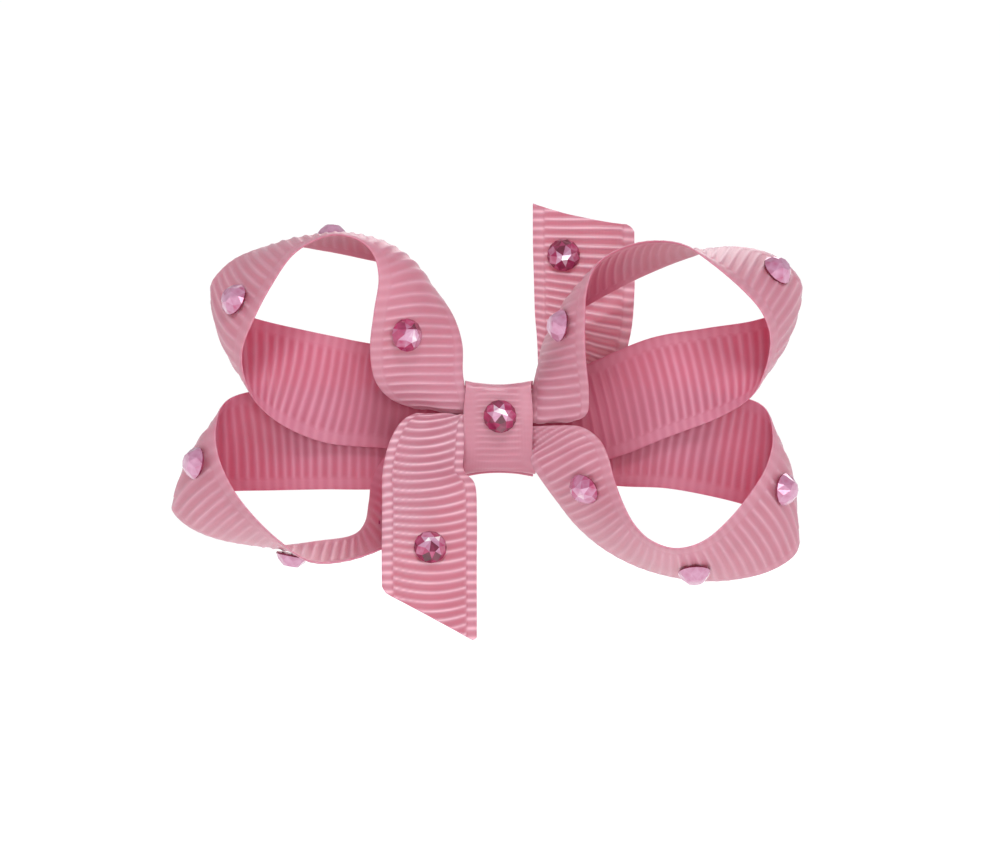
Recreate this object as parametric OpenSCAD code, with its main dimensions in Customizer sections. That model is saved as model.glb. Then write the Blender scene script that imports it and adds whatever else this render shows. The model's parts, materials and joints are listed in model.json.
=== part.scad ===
// Twisted-loop hair bow of grosgrain ribbon with glued-on crystals, on a sprung alligator clip.
// X runs along the bow, Z runs up, and the bow faces -Y.
// The origin is the middle of the clip's gripping plane, where the hair is held.

/* [Ribbon] */
// Width of the main ribbon, nominal 10 mm grosgrain
ribbon_w = 10.2; // [9.9:0.1:10.3]
// Thickness of the main ribbon
ribbon_t = 0.4; // [0.3:0.05:0.45]
// How much further down the lower tail's right edge reaches than its left edge
lower_cut = 5.1; // [0:0.1:6]
// How much further up the upper tail's left edge reaches than its right edge
upper_cut = 2.4; // [0:0.1:4]

/* [Center wrap] */
// Width of the narrow ribbon round the middle
wrap_w = 6.8; // [6:0.1:7]
// Height of the wrapped middle
wrap_h = 8.9; // [8.8:0.1:9.4]
// Thickness of the wrap ribbon
wrap_t = 0.45; // [0.3:0.05:0.5]
// How far the wrap sits to the left of the clip's middle
wrap_shift = 0.2; // [0:0.1:0.3]

/* [Crystals] */
// Diameter of a flat-back crystal
crystal_d = 3.3; // [2.8:0.1:3.4]
// Height of a flat-back crystal
crystal_h = 1.4; // [1:0.1:1.6]

/* [Clip] */
// Length of the clip's fixed arm
clip_l = 44; // [42:0.5:46]
// Width of the clip's fixed arm
clip_w = 7.8; // [7.6:0.1:7.9]
// Thickness of the sheet steel
steel_t = 0.5; // [0.4:0.05:0.5]
// Thickness of the ribbon that lines the clip
lining_t = 0.4; // [0.3:0.05:0.4]
// Diameter of the hinge pin
pin_d = 1.5; // [1.3:0.1:1.5]
// Radial clearance of the jaw on the pin
pin_play = 0.05; // [0.03:0.01:0.08]
// Wire diameter of the torsion spring
spring_wire = 0.5; // [0.4:0.05:0.5]

/* [Hidden] */
// Width at which the ribbon routes below are drawn
route_w = 10.2;

// Ribbon routes. Each row is one place along the ribbon: a point on the selvage nearer the front,
// the point straight across on the farther selvage, and how far the middle bulges outwards.
upper_left_route = [
    [[-2.8, -3.4, -3.4], [-2.8, -3.4, 3.6], 0],
    [[-6, -3.5, -2.8], [-5.5, -3.4, 5.4], 0],
    [[-11.3, -3.5, -2.1], [-10.2, -3.4, 7.7], 0],
    [[-17.2, -3.6, -1.6], [-15.2, -3.2, 8.8], 0],
    [[-21.4, -4.8, 0], [-19.5, -2.9, 9.7], 0.2],
    [[-24.2, -6, 2.2], [-24.2, -1.6, 10.8], 0.8],
    [[-25.5, -7.4, 4.8], [-27.7, -0.9, 12], 1.05],
    [[-25.7, -8.5, 7.6], [-29, -0.8, 13.8], 0.9],
    [[-24.7, -9.2, 10.4], [-28.4, -0.6, 15.4], 0.6],
    [[-23, -9.8, 13.8], [-26.2, -0.6, 17.2], 0.6],
    [[-20.6, -10.3, 17.2], [-22.2, -0.4, 18.3], 0.7],
    [[-17.4, -10.8, 19], [-17.8, -0.8, 17.8], 0.8],
    [[-14.8, -11.2, 18.9], [-14, -1.5, 17], 1.1],
    [[-12.8, -11.3, 17.4], [-10.4, -2.6, 16], 1.55],
    [[-12.1, -11, 14.8], [-7.1, -4, 14.1], 1.8],
    [[-12.6, -10.4, 11.4], [-5, -5, 11.6], 1.3],
    [[-13, -9.4, 8], [-3.9, -5.9, 8.5], 0.9],
    [[-12.6, -8.2, 4.9], [-3.8, -6.2, 5.4], 0.6],
    [[-11.2, -6.9, 3], [-3.4, -6, 3.2], 0.4],
    [[-9, -5.4, 2.1], [-3.3, -5.6, 1.6], 0.1],
    [[-6.4, -4.5, 1.9], [-3.2, -4.9, 1.7], 0],
    [[-2.9, -4.2, 0.4], [-2.7, -4.2, 3.4], 0]
];
lower_left_route = [
    [[-2.8, -2.8, 3.6], [-2.8, -2.8, -3.6], 0],
    [[-6, -2.8, 3.9], [-5.6, -2.8, -4.9], 0],
    [[-11.3, -2.8, 4], [-11, -2.7, -6.1], 0],
    [[-18, -2.9, 4], [-18, -2.5, -6.2], 0],
    [[-23.7, -3.3, 3.8], [-23, -1.8, -6.3], 0.2],
    [[-27.3, -5.3, 2.7], [-27.2, -1.3, -6.4], 1],
    [[-28.4, -7.2, 0], [-31.1, -0.9, -6.9], 1.5],
    [[-28.1, -8.4, -3], [-33, -0.9, -8.1], 0.9],
    [[-26.6, -9.2, -6.2], [-31.2, -0.8, -10], 0.6],
    [[-24.2, -9.9, -9.2], [-27.6, -0.6, -11.3], 0.4],
    [[-21.6, -10.4, -11.6], [-22.8, -0.4, -11.9], 0.3],
    [[-18.8, -10.8, -13.3], [-18.2, -0.8, -11.4], 0.3],
    [[-15.2, -10.9, -13.2], [-14.9, -1, -10.9], 0.3],
    [[-11.6, -10.5, -12], [-13.6, -1.6, -9.6], 0.3],
    [[-8.4, -9.4, -10.4], [-13.2, -2.9, -7.4], 0.3],
    [[-6.2, -8, -7.9], [-12.8, -3.9, -5], 0.2],
    [[-4.6, -6.7, -5.2], [-11, -4.3, -2.4], 0.1],
    [[-3.9, -5.6, -3.7], [-7, -4.8, -0.4], 0],
    [[-2.8, -5, -3.6], [-2.8, -4.9, -0.4], 0]
];
upper_right_route = [
    [[2.8, -3.5, -3.4], [2.8, -3.5, 3.6], 0],
    [[5.8, -3.6, -3.6], [5.2, -3.5, 4.8], 0],
    [[11, -3.7, -3.1], [8.8, -3.4, 6.4], 0],
    [[17.1, -3.8, -0.8], [14.8, -3.2, 8.9], 0],
    [[21.8, -4.6, 1], [20.4, -2.6, 9.9], 0.2],
    [[24.9, -6.1, 3], [25.4, -1.6, 10.7], 0.6],
    [[26.3, -7.6, 5.6], [28.7, -0.9, 12], 1],
    [[26.8, -8.7, 8.6], [30.1, -0.8, 13.9], 0.8],
    [[26, -9.4, 11.2], [29.2, -0.8, 15.8], 0.6],
    [[24, -10, 13.6], [26.7, -0.9, 17.5], 0.4],
    [[21, -10.7, 16.2], [22.6, -1, 18.1], 0.3],
    [[18, -11.2, 18.1], [18.4, -1.4, 16.9], 0.2],
    [[14.8, -11.8, 18.5], [14.6, -2.2, 15.4], 0.3],
    [[12, -12.2, 17.8], [11.6, -2.9, 13.9], 0.4],
    [[9.6, -12.3, 16.2], [8.6, -3.3, 12.2], 0.6],
    [[8.5, -12.1, 13.8], [5.9, -3, 10.8], 0.8],
    [[8.3, -11.3, 10.6], [4.4, -2.9, 8.8], 0.9],
    [[8.4, -10, 7], [3.7, -3.7, 6.2], 0.7],
    [[8.7, -8.6, 3.7], [3.1, -5, 3.6], 0.5],
    [[8.5, -7.4, 1.3], [3, -5.9, 1.1], 0.3],
    [[6.6, -6, 0.7], [2.9, -5.3, 0.8], 0],
    [[2.9, -4.6, 0.4], [2.8, -4.3, 3.2], 0]
];
lower_right_route = [
    [[2.8, -2.9, 3.4], [2.8, -2.9, -3.6], 0],
    [[6, -2.9, 3.9], [5.6, -2.9, -4.6], 0],
    [[12.4, -2.9, 4.2], [11.2, -2.7, -5.8], 0],
    [[18.6, -3, 3.9], [16.7, -2.5, -6.1], 0],
    [[23.4, -4, 3.2], [22, -2, -7.1], 0.2],
    [[26.3, -5.7, 2], [25.8, -1.4, -8.2], 0.9],
    [[27.1, -7, -0.8], [28.4, -1.2, -9.5], 1.35],
    [[26.5, -8.1, -3.6], [29.8, -1.4, -11.2], 0.8],
    [[25, -8.8, -6.2], [29.2, -1.6, -13], 0.6],
    [[22.8, -9.5, -9], [26.4, -1.4, -14.6], 0.5],
    [[20.2, -10.2, -11.2], [22.4, -1.1, -15.3], 0.4],
    [[17.4, -10.6, -12], [18.2, -0.9, -15.1], 0.4],
    [[15, -10.7, -11.3], [14.2, -0.9, -14.1], 0.4],
    [[13.3, -10.7, -9.7], [10.6, -1.3, -12.3], 0.4],
    [[12.1, -10.4, -7.6], [7.6, -2.2, -9.9], 0.5],
    [[11.2, -9.8, -5.2], [5.4, -3.6, -7.2], 0.6],
    [[10.6, -8.8, -2.8], [3.7, -5.6, -4.8], 0.6],
    [[9.7, -7.7, -1.1], [3, -5.8, -3.7], 0.5],
    [[7.9, -6.9, 0.1], [2.9, -5.9, -3.2], 0.4],
    [[5.2, -6.3, 0.2], [2.8, -5.8, -3], 0.2],
    [[2.9, -5.7, 0.1], [2.8, -5.6, -3.2], 0]
];
lower_tail_route = [
    [[-2.9, -5.8, -2.6], [-2.9, -5.6, 0.6], 0],
    [[-4.8, -5.8, -0.6], [-3.1, -5.7, 0.9], 0],
    [[-7, -6.1, 1], [-3.2, -6, 1.2], 0],
    [[-8.6, -6.8, 1.3], [-3.4, -6.1, 1.1], 0],
    [[-9.9, -7.6, 0.6], [-3.6, -6.2, 0.4], 0.1],
    [[-10.9, -8.3, -1], [-3.7, -6.4, -0.9], 0.3],
    [[-11.5, -8.9, -2.9], [-3.72, -6.7, -2.5], 0.4],
    [[-11.8, -9.5, -4.9], [-3.72, -7.1, -4.3], 0.4],
    [[-11.8, -10.1, -7], [-2.6, -7.9, -5.7], 0.3],
    [[-11.8, -10.8, -9.6], [-2.4, -9.1, -8.8], 0.3],
    [[-11.8, -12, -14], [-2.4, -10.4, -14], 0.3],
    [[-11.7, -12.8, -18.5], [-2.4, -10.9, -18.5], 0.3],
    [[-11.6, -13.2, -22.5], [-2.4, -11.2, -22.5], 0.3]
];
upper_tail_route = [
    [[2.8, -2.3, 3], [2.8, -2.3, -0.8], 0],
    [[3.7, -2.3, 4], [5.8, -2.3, 0.4], 0],
    [[3.7, -2.1, 6.4], [9.4, -2.2, 2.8], 0],
    [[3.6, -1.7, 9], [11.8, -1.9, 5.8], 0],
    [[3.4, -1.2, 11.4], [13, -1.4, 9.4], 0.1],
    [[3.3, -0.5, 14.8], [13.4, -0.6, 13.8], 0.2],
    [[3.2, 0.2, 18.6], [13.4, 0.2, 18.2], 0.3],
    [[3.2, 1, 23.5], [13.4, 1.1, 23.3], 0.3]
];

// Which side of each route faces out of its loop: 1 or -1
upper_left_face = -1;
lower_left_face = 1;
upper_right_face = 1;
lower_right_face = -1;
lower_tail_face = -1;
upper_tail_face = 1;

// Height of each tail's cut at its shorter edge
lower_tail_end = -16.2;
upper_tail_end = 20.1;

// Rings between two rows of a route, and points across the ribbon
ring_steps = 3;
across = 5;

// The stack through the middle, back to front, as Y positions
lining_y = -wrap_t - lining_t;
base_y = lining_y - steel_t;
glue_t = 0.5;
glue_y = base_y - glue_t;
core_y = -6.15;
wrap_y = -6.95;

// The gathered middle and its thread
core_w = 5;
core_h = 7.6;
core_gap = wrap_h / 2 - wrap_t - core_h / 2;
glue_w = 4.4;
glue_h = 6;
glue_dab = 2;
groove_w = 2.6;
groove_depth = 0.45;
thread_d = 0.3;
thread_turns = 4;
thread_steps = 20;

// The clip. The jaw lies along the plane y = jaw_y, then rises over the spring to its thumb tab
clip_tip_r = 3;
lining_end_x = 8.5;
hinge_x = 12;
hinge_y = 0.75;
jaw_y = 0.1;
jaw_w = 6.6;
jaw_tip_x = -22.3;
jaw_tip_r = 2.6;
jaw_rise_x = 4;
jaw_top_x = 9.5;
jaw_top_y = 2.3;
tab_x = 14;
tab_end_x = 22.5;
tab_end_y = 5.6;
ear_r = 1.4;
rivet_head_d = pin_d + 0.9;
rivet_head_t = 0.3;
spring_r = pin_d / 2 + spring_wire / 2 + 0.05;
spring_turns = 3.5;
spring_z = 1.1;
spring_leg_x = 19;
spring_leg_y = 3.8;
tooth_pitch = 1.25;
tooth_count = 9;
tooth_from_x = -19;
tooth_w = 0.9;
tooth_h = 0.4;

// Room for the film of glue under a crystal, and the place of the one on the wrap as [x, z]
crystal_gap = 0.3;
center_crystal = [-0.1, 1.1];

// Smooth curve through a list of values, at place s (0 at the first, 1 at the second, ...)
function pick(list, i) = list[max(0, min(i, len(list) - 1))];
function blend(a, b, c, d, t) =
    0.5 * (2 * b + (c - a) * t + (2 * a - 5 * b + 4 * c - d) * t * t
        + (3 * b - a - 3 * c + d) * t * t * t);
function along(list, s) =
    let (i = min(floor(s), len(list) - 2), t = s - i)
    blend(pick(list, i - 1), pick(list, i), pick(list, i + 1), pick(list, i + 2), t);
function column(route, k) = [for (row = route) row[k]];
function unit(v) = v / norm(v);

// Points and directions on a ribbon at place s
function near_edge(route, s) = along(column(route, 0), s);
function far_edge(route, s) = along(column(route, 1), s);
function middle(route, s) = (near_edge(route, s) + far_edge(route, s)) / 2;
function half_width(route, s) =
    (near_edge(route, s) - far_edge(route, s)) / 2 * ribbon_w / route_w;
function heading(route, s) =
    let (last = len(route) - 1)
    unit(middle(route, min(s + 0.02, last)) - middle(route, max(s - 0.02, 0)));
function outward(route, face, s) = face * unit(cross(heading(route, s), half_width(route, s)));

// One point: v is -1 on the far edge and 1 on the near one, lift is the height above mid-thickness
function ribbon_point(route, face, s, v, lift) =
    middle(route, s) + v * half_width(route, s)
    + (lift + along(column(route, 2), s) * (1 - v * v)) * outward(route, face, s);

// Ring of points round a ribbon, along its outer side and back along its inner side
function ribbon_ring(route, face, ends, f) = concat(
    [for (i = [0 : across - 1]) let (v = 2 * i / (across - 1) - 1)
        ribbon_point(route, face, f * tail_end(ends, v), v, ribbon_t / 2)],
    [for (i = [across - 1 : -1 : 0]) let (v = 2 * i / (across - 1) - 1)
        ribbon_point(route, face, f * tail_end(ends, v), v, -ribbon_t / 2)]);

// Place at which the ribbon stops, between its far edge and its near edge
function tail_end(ends, v) = ends[0] + (ends[1] - ends[0]) * (v + 1) / 2;

// Place near the end of a route at which an edge crosses height z, found by halving
function place_at(edge, z, low, high, rounds = 20) =
    rounds == 0 ? low :
    let (half = (low + high) / 2,
        beyond = (along(edge, half)[2] - z) * (along(edge, high)[2] - z) > 0)
    beyond ? place_at(edge, z, low, half, rounds - 1)
        : place_at(edge, z, half, high, rounds - 1);
function cut_at(route, k, z) =
    place_at(column(route, k), z, len(route) - 5, len(route) - 1);

// Closed solid of a stretch of ribbon that ends at place ends[0] on the far edge, ends[1] on the near
module ribbon(route, face, ends) {
    rings = ceil(max(ends) * ring_steps);
    ring_size = 2 * across;
    points = [for (k = [0 : rings]) each ribbon_ring(route, face, ends, k / rings)];
    quads = [for (k = [0 : rings - 1], j = [0 : ring_size - 1])
        let (a = k * ring_size + j, b = k * ring_size + (j + 1) % ring_size)
        each [[a, b, b + ring_size], [a, b + ring_size, a + ring_size]]];
    caps = [for (i = [0 : across - 2]) let (j = ring_size - 1 - i, top = rings * ring_size)
        each [[i, j, j - 1], [i, j - 1, i + 1],
            [top + i, top + j - 1, top + j], [top + i, top + i + 1, top + j - 1]]];
    faces = concat(quads, caps);
    polyhedron(points, face > 0 ? faces : [for (t = faces) [t[2], t[1], t[0]]]);
}

// Whole route, both edges to its last row
function whole(route) = [len(route) - 1, len(route) - 1];

module loop(route, face) {
    color("palevioletred") ribbon(route, face, whole(route));
}

module loop_upper_left() { loop(upper_left_route, upper_left_face); }
module loop_lower_left() { loop(lower_left_route, lower_left_face); }
module loop_upper_right() { loop(upper_right_route, upper_right_face); }
module loop_lower_right() { loop(lower_right_route, lower_right_face); }

module tail_lower() {
    left_end = cut_at(lower_tail_route, 0, lower_tail_end);
    right_end = cut_at(lower_tail_route, 1, lower_tail_end - lower_cut);
    color("palevioletred") ribbon(lower_tail_route, lower_tail_face, [right_end, left_end]);
}

module tail_upper() {
    left_end = cut_at(upper_tail_route, 0, upper_tail_end + upper_cut);
    right_end = cut_at(upper_tail_route, 1, upper_tail_end);
    color("palevioletred") ribbon(upper_tail_route, upper_tail_face, [right_end, left_end]);
}

// Rounded rectangle in Y and Z, pushed out along X by w, between y0 and y1
module band(w, y0, y1, h, r) {
    rotate([90, 0, 90])
        linear_extrude(height = w, center = true)
            union() {
                translate([y0 + r, -h / 2]) square([y1 - y0 - 2 * r, h]);
                translate([y0, -h / 2 + r]) square([y1 - y0, h - 2 * r]);
                for (y = [y0 + r, y1 - r], z = [-h / 2 + r, h / 2 - r])
                    translate([y, z]) circle(r = r, $fn = 24);
            }
}

module gathered_middle() {
    color("mediumvioletred") difference() {
        band(core_w, core_y, glue_y, core_h, 1);
        difference() {
            band(groove_w, core_y - 1, glue_y + 1, core_h + 2, 1);
            band(groove_w + 1, core_y + groove_depth, glue_y - groove_depth,
                core_h - 2 * groove_depth, 1.2);
        }
    }
}

// Thread laid round the gathered middle in its groove
function thread_point(i) =
    let (a = 360 * i / thread_steps,
        half_y = (glue_y - core_y) / 2 - thread_d / 2,
        half_z = core_h / 2 - thread_d / 2,
        c = cos(a), s = sin(a), k = pow(pow(abs(c), 8) + pow(abs(s), 8), -1 / 8))
    [(i / thread_steps - thread_turns / 2) * 1.3 * thread_d,
        (core_y + glue_y) / 2 + half_y * k * c, half_z * k * s];
function tube_ring(p, before, after, r, sides) =
    let (t = unit(after - before), a = unit(cross(t, [1, 0.02, 0.01])), b = cross(t, a))
    [for (j = [0 : sides - 1]) p + r * (cos(360 * j / sides) * a + sin(360 * j / sides) * b)];

// Round tube along a list of points
module tube(path, r, sides) {
    last = len(path) - 1;
    points = [for (i = [0 : last])
        each tube_ring(path[i], path[max(i - 1, 0)], path[min(i + 1, last)], r, sides)];
    walls = [for (i = [0 : last - 1], j = [0 : sides - 1])
        let (a = i * sides + j, b = i * sides + (j + 1) % sides)
        each [[a, b + sides, b], [a, a + sides, b + sides]]];
    start = [for (j = [0 : sides - 1]) j];
    end = [for (j = [sides - 1 : -1 : 0]) last * sides + j];
    polyhedron(points, concat(walls, [start, end]));
}

module binding_thread() {
    color("plum")
        tube([for (i = [0 : thread_turns * thread_steps]) thread_point(i)], thread_d / 2, 6);
}

module center_wrap() {
    color("pink") translate([-wrap_shift, 0, 0]) difference() {
        band(wrap_w, wrap_y, 0, wrap_h, 0.8);
        band(wrap_w + 1, wrap_y + wrap_t, -wrap_t, wrap_h - 2 * wrap_t, 0.35);
    }
}

module glue_bow() {
    color("ivory") translate([-glue_w / 2, glue_y, -glue_h / 2])
        cube([glue_w, glue_t, glue_h]);
}

// Dab of glue under the gathered middle, where the wrap's end is stuck down
module glue_wrap_end() {
    color("ivory")
        translate([-glue_w / 2, (core_y + glue_y - glue_dab) / 2, -core_h / 2 - core_gap])
            cube([glue_w, glue_dab, core_gap]);
}

// Outline of a clip arm seen from behind: straight sides and a rounded tip at -X
module arm_outline(from_x, to_x, w, tip_r) {
    translate([from_x + tip_r, -w / 2]) square([to_x - from_x - tip_r, w]);
    translate([from_x, -w / 2 + tip_r]) square([2 * tip_r, w - 2 * tip_r]);
    for (z = [-1, 1])
        translate([from_x + tip_r, z * (w / 2 - tip_r)]) circle(r = tip_r, $fn = 32);
}

// Plate in the XZ plane between y0 and y1
module plate(y0, y1) {
    translate([0, y1, 0]) rotate([90, 0, 0]) linear_extrude(height = y1 - y0) children();
}

// Flat lug with its face across Z, centered on the hinge and joined to its arm
module lug(z, joined_y) {
    translate([0, 0, z]) linear_extrude(height = steel_t, center = true) {
        translate([hinge_x, hinge_y]) circle(r = ear_r, $fn = 32);
        translate([hinge_x - ear_r, min(joined_y, hinge_y)])
            square([2 * ear_r, abs(joined_y - hinge_y)]);
    }
}

module hinge_bore(r) {
    translate([hinge_x, hinge_y, 0]) cylinder(h = 20, r = r, center = true, $fn = 48);
}

module clip_base() {
    color("silver") difference() {
        union() {
            plate(base_y, lining_y) arm_outline(-clip_l / 2, clip_l / 2, clip_w, clip_tip_r);
            for (side = [-1, 1]) lug(side * (clip_w - steel_t) / 2, base_y);
        }
        hinge_bore(pin_d / 2);
    }
}

// Side view of the jaw: curled tip, straight gripping length, rise over the spring, thumb tab
module jaw_profile() {
    under = [[jaw_tip_x, jaw_y - 0.4], [jaw_tip_x + 1.7, jaw_y], [jaw_rise_x, jaw_y],
        [jaw_top_x, jaw_top_y], [tab_x, jaw_top_y], [tab_end_x, tab_end_y]];
    last = len(under) - 1;
    polygon(concat(under, [for (i = [last : -1 : 0]) under[i] + [-0.1, steel_t]]));
}

module clip_jaw() {
    color("silver") difference() {
        union() {
            intersection() {
                linear_extrude(height = jaw_w, center = true) jaw_profile();
                plate(-2, 8) arm_outline(jaw_tip_x - 0.1, tab_end_x + 5, jaw_w, jaw_tip_r);
            }
            for (side = [-1, 1]) {
                lug(side * (jaw_w - steel_t) / 2, jaw_top_y + 0.2);
                jaw_teeth(side * (jaw_w - steel_t) / 2);
            }
        }
        hinge_bore(pin_d / 2 + pin_play);
    }
}

module jaw_teeth(z) {
    for (i = [0 : tooth_count - 1])
        translate([tooth_from_x + i * tooth_pitch, jaw_y, z])
            linear_extrude(height = steel_t, center = true)
                polygon([[-tooth_w / 2, 0.1], [tooth_w / 2, 0.1], [tooth_w / 2, 0],
                    [0, -tooth_h], [-tooth_w / 2, 0]]);
}

module clip_lining() {
    color("pink") plate(lining_y, -wrap_t)
        arm_outline(-clip_l / 2 + 0.3, lining_end_x, clip_w - 1, clip_tip_r - 0.2);
}

// Rivet pin with a flat head at each end
module hinge_pin() {
    color("lightgray") translate([hinge_x, hinge_y, 0]) {
        cylinder(h = clip_w, d = pin_d, center = true, $fn = 48);
        for (side = [-1, 1])
            translate([0, 0, side * (clip_w + rivet_head_t) / 2])
                cylinder(h = rivet_head_t, d = rivet_head_d, center = true, $fn = 48);
    }
}

// Spring wire: a leg along the fixed arm, the coil round the pin, and a leg under the thumb tab
function coil_point(i, steps) =
    let (a = -90 - 360 * spring_turns * i / steps)
    [hinge_x + spring_r * cos(a), hinge_y + spring_r * sin(a),
        spring_z - 2 * spring_z * i / steps];
module torsion_spring() {
    coil_steps = 56;
    leg_base = [[spring_leg_x, lining_y + spring_wire / 2 + 0.05, spring_z],
        [hinge_x + 2.5, hinge_y - spring_r - 0.1, spring_z]];
    leg_jaw = [[hinge_x + 1.5, hinge_y + spring_r + 0.08, -spring_z],
        [spring_leg_x, spring_leg_y, -spring_z]];
    coil = [for (i = [0 : coil_steps]) coil_point(i, coil_steps)];
    color("lightgray") tube(concat(leg_base, coil, leg_jaw), spring_wire / 2, 8);
}

// Flat-back crystal standing on the XY plane
module crystal() {
    r = crystal_d / 2;
    color("orchid") rotate_extrude($fn = 32)
        polygon([[0, 0], [r, 0], [r, 0.2 * crystal_h], [0.55 * r, crystal_h], [0, crystal_h]]);
}

// Crystal glued to the outer side of a ribbon at place s, v of the way from its middle to an edge
module ribbon_crystal(route, face, s, v) {
    seat = ribbon_point(route, face, s, v, ribbon_t / 2 + crystal_gap);
    up = outward(route, face, s);
    side = unit(half_width(route, s));
    ahead = cross(up, side);
    multmatrix([[side[0], ahead[0], up[0], seat[0]], [side[1], ahead[1], up[1], seat[1]],
        [side[2], ahead[2], up[2], seat[2]]]) crystal();
}

module crystal_center() {
    translate([center_crystal[0], wrap_y - 0.02, center_crystal[1]]) rotate([90, 0, 0]) crystal();
}
module crystal_lower_tail() { ribbon_crystal(lower_tail_route, lower_tail_face, 9.6, 0); }
module crystal_upper_tail() { ribbon_crystal(upper_tail_route, upper_tail_face, 5.7, 0.4); }

// Three crystals on each loop, as [place, how far towards the near edge]
upper_left_crystals = [[8.1, 0.3], [11.2, -0.45], [15.7, 0.3]];
lower_left_crystals = [[6.8, 0.5], [10.4, 0], [14, -0.2]];
upper_right_crystals = [[8.5, -0.3], [12.6, -0.2], [16, 0.3]];
lower_right_crystals = [[7.1, 0.4], [10.6, -0.1], [15.1, 0.2]];

loop_upper_left();
loop_lower_left();
loop_upper_right();
loop_lower_right();
tail_lower();
tail_upper();
gathered_middle();
binding_thread();
center_wrap();
glue_bow();
glue_wrap_end();
clip_base();
clip_jaw();
clip_lining();
hinge_pin();
torsion_spring();
crystal_center();
crystal_lower_tail();
crystal_upper_tail();
for (i = [0 : 2]) {
    ribbon_crystal(upper_left_route, upper_left_face,
            upper_left_crystals[i][0], upper_left_crystals[i][1]);
    ribbon_crystal(lower_left_route, lower_left_face,
            lower_left_crystals[i][0], lower_left_crystals[i][1]);
    ribbon_crystal(upper_right_route, upper_right_face,
            upper_right_crystals[i][0], upper_right_crystals[i][1]);
    ribbon_crystal(lower_right_route, lower_right_face,
            lower_right_crystals[i][0], lower_right_crystals[i][1]);
}
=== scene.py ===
"""Looks for the twisted-loop hair bow: ribbed satin ribbon, faceted crystals and a sprung clip."""

import json
import math

import bmesh
import bpy
import numpy as np
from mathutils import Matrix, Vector

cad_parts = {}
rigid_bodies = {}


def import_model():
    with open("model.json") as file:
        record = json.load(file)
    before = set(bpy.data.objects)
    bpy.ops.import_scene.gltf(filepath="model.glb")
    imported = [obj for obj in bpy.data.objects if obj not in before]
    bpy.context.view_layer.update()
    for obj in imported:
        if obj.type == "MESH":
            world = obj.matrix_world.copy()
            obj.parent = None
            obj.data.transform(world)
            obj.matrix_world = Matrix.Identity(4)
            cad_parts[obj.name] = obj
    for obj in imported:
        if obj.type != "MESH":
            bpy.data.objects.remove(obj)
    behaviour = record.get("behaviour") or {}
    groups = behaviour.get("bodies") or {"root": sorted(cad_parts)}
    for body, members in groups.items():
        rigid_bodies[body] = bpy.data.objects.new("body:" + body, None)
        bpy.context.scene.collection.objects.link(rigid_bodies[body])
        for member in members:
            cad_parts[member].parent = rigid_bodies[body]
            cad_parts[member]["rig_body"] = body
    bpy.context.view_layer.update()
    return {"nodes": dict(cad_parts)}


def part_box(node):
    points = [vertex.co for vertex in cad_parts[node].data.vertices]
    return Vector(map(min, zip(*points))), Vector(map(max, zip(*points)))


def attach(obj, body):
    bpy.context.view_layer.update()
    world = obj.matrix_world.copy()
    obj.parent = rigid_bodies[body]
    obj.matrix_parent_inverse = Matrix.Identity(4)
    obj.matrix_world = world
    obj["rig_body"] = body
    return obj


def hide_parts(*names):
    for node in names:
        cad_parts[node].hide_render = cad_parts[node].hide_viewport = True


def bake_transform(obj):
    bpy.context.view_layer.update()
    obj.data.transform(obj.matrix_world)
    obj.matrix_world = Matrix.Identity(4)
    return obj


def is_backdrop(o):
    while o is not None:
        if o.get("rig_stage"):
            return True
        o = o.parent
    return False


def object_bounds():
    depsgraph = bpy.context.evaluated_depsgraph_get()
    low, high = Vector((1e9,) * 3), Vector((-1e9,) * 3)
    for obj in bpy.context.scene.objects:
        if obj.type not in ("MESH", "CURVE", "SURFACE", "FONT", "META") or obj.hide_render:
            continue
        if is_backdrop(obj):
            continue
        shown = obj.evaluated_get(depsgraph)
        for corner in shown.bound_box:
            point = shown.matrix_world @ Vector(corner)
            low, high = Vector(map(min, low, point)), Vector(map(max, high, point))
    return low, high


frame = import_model()

MM = 0.001

# Sizes of the ribbons, in millimetres. RIB_TOP, RIB_VALLEY and SELVAGE_TOP are heights of the
# outer face above the ribbon's middle surface, and INNER_DEPTH is the inner face's mean depth
# below it, where the ribs stand out only INNER_RELIEF times as far.
RIBBON_W = 10.2
RIB_PITCH = 0.94
RIB_TOP = 0.2
RIB_VALLEY = 0.06
INNER_DEPTH = 0.1
INNER_RELIEF = 0.6
SELVAGE_W = 1.1
SELVAGE_TOP = 0.11
WRAP_W = 6.8
WRAP_RIB_PITCH = 0.6
WRAP_T = 0.45

# Rows of mesh points for each rib, and millimetres of ribbon in one unit of its UV map
RIB_ROWS = 8
MM_PER_UV = 10

# Crystals, in millimetres, and how far their seats lie below the tops of the ribs
CRYSTAL_R = 1.65
CRYSTAL_H = 1.4
CRYSTAL_SINK = 0.06

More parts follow.
